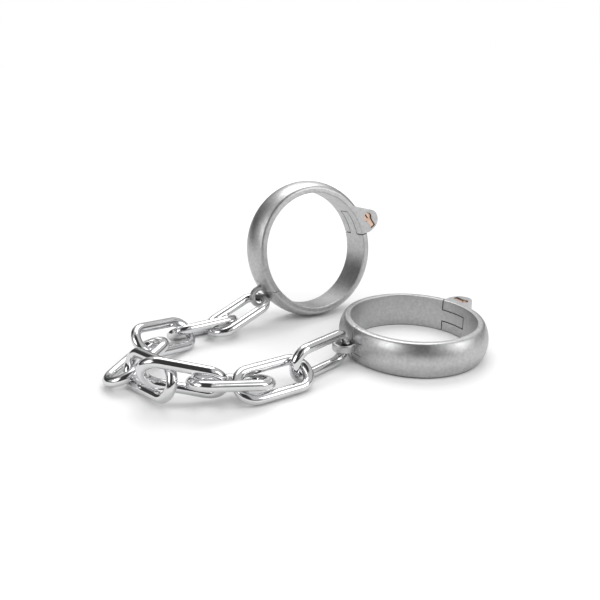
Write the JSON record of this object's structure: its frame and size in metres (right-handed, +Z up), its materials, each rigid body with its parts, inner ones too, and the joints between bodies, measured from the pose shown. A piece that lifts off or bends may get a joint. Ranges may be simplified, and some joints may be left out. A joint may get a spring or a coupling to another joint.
{
  "type": "handcuffs",
  "caption": "Rigid steel wrist cuffs with hinged halves and keyed pin locks, joined by a chain of long oval links; laid out closed on a table.",
  "frame": {"origin": "middle of the whole set in plan, on the table it lies on", "axes": "+Z up from the table, +X along the longer side of the set, from the outermost chain links towards the lock ends of the cuffs; the right cuff lies on the -Y side"},
  "size_m": [0.1969, 0.1252, 0.078],
  "materials": {
    "cuff_steel": "fine bead-blasted satin",
    "link_steel": "polished",
    "lock_brass": "turned, slightly tarnished",
    "pin_steel": "machined",
    "spring_steel": "drawn wire"
  },
  "bodies": {
    "left_lug": {"left_lug_half": "cuff_steel"},
    "left_housing": {"left_housing_half": "cuff_steel", "left_hinge_pin": "cuff_steel", "left_lock_cylinder": "lock_brass", "left_driver_pins": "lock_brass", "left_tumbler_springs": "spring_steel", "left_spring_cover": "lock_brass", "left_cylinder_screw": "pin_steel"},
    "left_plug": {"left_lock_plug": "lock_brass", "left_lock_cam": "pin_steel", "left_cam_clip": "spring_steel", "left_key_pins": "lock_brass"},
    "right_lug": {"right_lug_half": "cuff_steel"},
    "right_housing": {"right_housing_half": "cuff_steel", "right_hinge_pin": "cuff_steel", "right_lock_cylinder": "lock_brass", "right_driver_pins": "lock_brass", "right_tumbler_springs": "spring_steel", "right_spring_cover": "lock_brass", "right_cylinder_screw": "pin_steel"},
    "right_plug": {"right_lock_plug": "lock_brass", "right_lock_cam": "pin_steel", "right_cam_clip": "spring_steel", "right_key_pins": "lock_brass"},
    "link_1": {"link_1": "link_steel"},
    "link_2": {"link_2": "link_steel"},
    "link_3": {"link_3": "link_steel"},
    "link_4": {"link_4": "link_steel"},
    "link_5": {"link_5": "link_steel"},
    "link_6": {"link_6": "link_steel"},
    "link_7": {"link_7": "link_steel"},
    "link_8": {"link_8": "link_steel"},
    "link_9": {"link_9": "link_steel"}
  },
  "joints": [
    {"name": "left_cuff_open", "type": "hinge", "parent": "left_lug", "child": "left_housing", "pos_m": [0.0055, 0.04825, 0.02328], "axis": [0, -0.9945, 0.1045], "range_deg": [0, 36]},
    {"name": "left_key_turn", "type": "hinge", "parent": "left_housing", "child": "left_plug", "pos_m": [0.07136, 0.05149, 0.05408], "axis": [0, 0.9945, -0.1045], "range_deg": [0, 90]},
    {"name": "right_cuff_open", "type": "hinge", "parent": "right_lug", "child": "right_housing", "pos_m": [0.01965, -0.02401, 0.009], "axis": [0, 0, -1], "range_deg": [0, 36]},
    {"name": "right_key_turn", "type": "hinge", "parent": "right_housing", "child": "right_plug", "pos_m": [0.09227, -0.01917, 0.009], "axis": [0, 0, 1], "range_deg": [0, 90]},
    {"name": "link_1_swing", "type": "hinge", "parent": "left_lug", "child": "link_1", "pos_m": [0.00257, 0.0475, 0.01587], "axis": [-0.3191, 0.9464, 0.05], "range_deg": [-18, 18]},
    {"name": "link_2_swing", "type": "hinge", "parent": "link_1", "child": "link_2", "pos_m": [-0.02044, 0.03946, 0.0101], "axis": [0.2689, 0.141, -0.9528], "range_deg": [-9, 6]},
    {"name": "link_3_swing", "type": "hinge", "parent": "link_2", "child": "link_3", "pos_m": [-0.04403, 0.04189, 0.00692], "axis": [-0.028, 0.5291, 0.8481], "range_deg": [-20, 20]},
    {"name": "link_4_swing", "type": "hinge", "parent": "link_3", "child": "link_4", "pos_m": [-0.0654, 0.02781, 0.01118], "axis": [-0.4101, 0.5892, -0.6962], "range_deg": [-15, 20]},
    {"name": "link_5_swing", "type": "hinge", "parent": "link_4", "child": "link_5", "pos_m": [-0.08743, 0.00488, 0.00777], "axis": [0.939, 0.218, 0.266], "range_deg": [-20, 15]},
    {"name": "link_6_swing", "type": "hinge", "parent": "link_5", "child": "link_6", "pos_m": [-0.07733, -0.02204, 0.02143], "axis": [-0.301, -0.148, -0.9421], "range_deg": [-8, 18]},
    {"name": "link_7_swing", "type": "hinge", "parent": "link_6", "child": "link_7", "pos_m": [-0.06438, -0.02103, 0.01054], "axis": [0.5091, 0.7472, 0.4271], "range_deg": [-12, 12]},
    {"name": "link_8_swing", "type": "hinge", "parent": "link_7", "child": "link_8", "pos_m": [-0.03707, -0.03781, 0.00314], "axis": [0.021, -0.5871, 0.8092], "range_deg": [-15, 10]},
    {"name": "link_9_swing", "type": "hinge", "parent": "link_8", "child": "link_9", "pos_m": [-0.0214, -0.03056, 0.01005], "axis": [-0.021, 0.5871, -0.8092], "range_deg": [-8, 20]},
    {"name": "right_cuff_swing", "type": "hinge", "parent": "link_9", "child": "right_lug", "pos_m": [0.01307, -0.02052, 0.00885], "axis": [-0.1879, 0.071, -0.9796], "range_deg": [-12, 12]}
  ]
}
